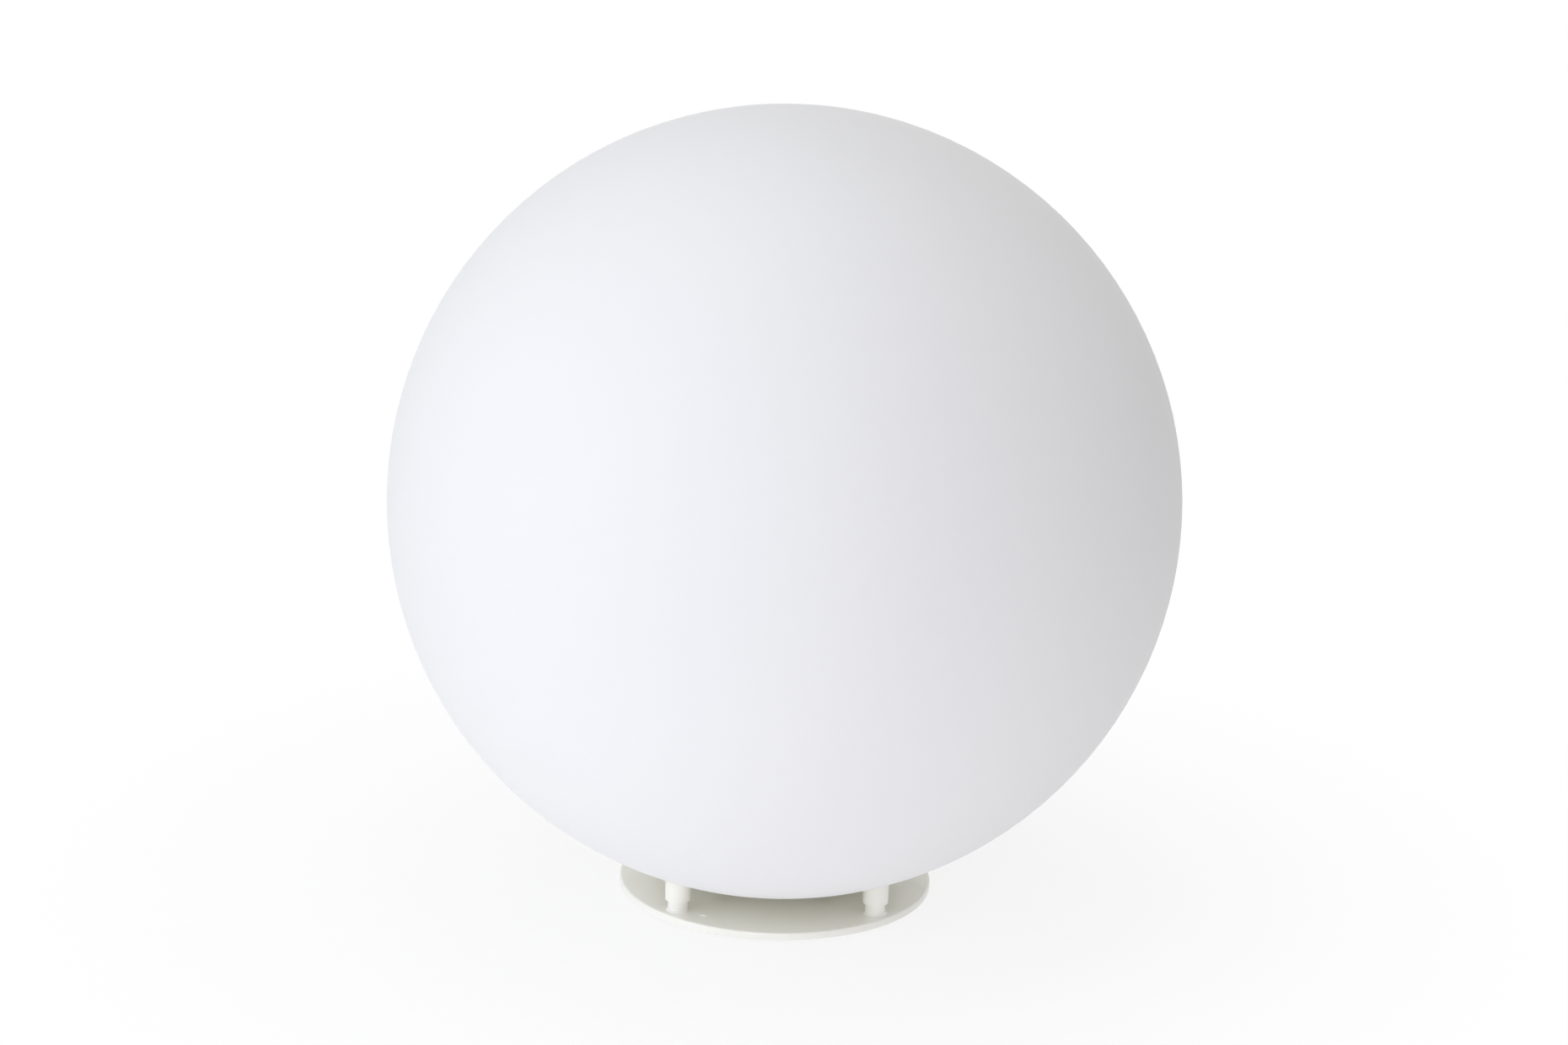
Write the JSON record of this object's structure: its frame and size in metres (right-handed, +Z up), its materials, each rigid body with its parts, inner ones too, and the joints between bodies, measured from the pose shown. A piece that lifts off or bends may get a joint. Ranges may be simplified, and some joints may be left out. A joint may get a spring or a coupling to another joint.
{
  "type": "garden globe light",
  "caption": "Cordless opal globe lamp for the garden: a matt white ball on a thin round foot plate with short stepped posts, lifting off a drum with cells, LED ring and panel.",
  "frame": {"origin": "on the ground under the middle of the foot plate, level with the undersides of the rubber pads", "axes": "+Z up through the globe's centre and the way the globe lifts off, -Y the side seen from the front, with the battery door behind it, +X to the right"},
  "size_m": [0.2999, 0.3, 0.3051],
  "materials": {
    "opal_globe": "matt blow-moulded opal polyethylene, lets light through softly",
    "white_gloss": "glossy injection-moulded white plastic",
    "housing_grey": "fine-textured light grey plastic",
    "seal_silicone": "soft translucent grey silicone",
    "pad_rubber": "soft translucent off-white rubber",
    "screw_steel": "bright zinc-plated steel",
    "spring_steel": "bright rolled stainless spring steel",
    "contact_nickel": "nickel-plated steel",
    "button_grey": "satin mid-grey plastic",
    "board_green": "green solder mask",
    "board_white": "white solder mask",
    "component_black": "moulded black epoxy",
    "ferrite_dark": "sintered dark grey ferrite",
    "socket_white": "off-white nylon",
    "capacitor_sleeve": "dark blue shrink sleeve",
    "cell_sleeve": "plain green shrink sleeve",
    "led_white": "white reflective package",
    "led_phosphor": "yellow phosphor gel",
    "panel_black": "black panel laminate",
    "solar_silicon": "dark blue silicon with fine silver lines",
    "panel_glaze": "clear cast resin",
    "clear_cover": "clear moulded polycarbonate",
    "lead_red": "red lead sheath",
    "lead_black": "black lead sheath"
  },
  "bodies": {
    "base": {"base_cap": "white_gloss", "battery_cell_lower": "cell_sleeve", "battery_cell_upper": "cell_sleeve", "battery_lead_black": "lead_black", "battery_lead_red": "lead_red", "board_screws": "screw_steel", "board_sockets": "socket_white", "boost_inductor": "ferrite_dark", "bridge_contact": "contact_nickel", "button_retainer": "housing_grey", "button_spring": "spring_steel", "clip_rivets": "screw_steel", "contact_springs": "contact_nickel", "control_board": "board_green", "controller_chip": "component_black", "deck_screws": "screw_steel", "foot_pads": "pad_rubber", "foot_plate": "white_gloss", "foot_screws": "screw_steel", "hinge_pins": "screw_steel", "housing_screws": "screw_steel", "lamp_housing": "housing_grey", "led_board": "board_white", "led_lead_black": "lead_black", "led_lead_red": "lead_red", "led_packages": "led_white", "led_phosphors": "led_phosphor", "light_cover": "clear_cover", "neck_seal": "seal_silicone", "negative_contact": "contact_nickel", "panel_lead_black": "lead_black", "panel_lead_red": "lead_red", "positive_contact": "contact_nickel", "power_switch": "component_black", "retainer_screws": "screw_steel", "retaining_clips": "spring_steel", "solar_backing": "panel_black", "solar_cells": "solar_silicon", "solar_glaze": "panel_glaze", "storage_capacitor": "capacitor_sleeve", "top_deck": "housing_grey"},
    "globe": {"globe_shell": "opal_globe", "neck_ring": "white_gloss"},
    "battery_door": {"battery_door": "housing_grey"},
    "power_button": {"power_button": "button_grey", "switch_plunger": "button_grey"}
  },
  "joints": [
    {"name": "globe_lift", "type": "slide", "parent": "base", "child": "globe", "axis": [0, 0, 1], "range_m": [0, 0.09], "deforming": ["retaining_clips"]},
    {"name": "battery_door_hinge", "type": "hinge", "parent": "base", "child": "battery_door", "pos_m": [0, -0.0323, 0.03482], "axis": [1, 0, 0], "range_deg": [0, 95]},
    {"name": "power_button_press", "type": "slide", "parent": "base", "child": "power_button", "axis": [0, 0, 1], "range_m": [0, 0.002], "stiffness_N_per_m": 400, "springref_m": -0.001, "deforming": ["button_spring"]}
  ]
}
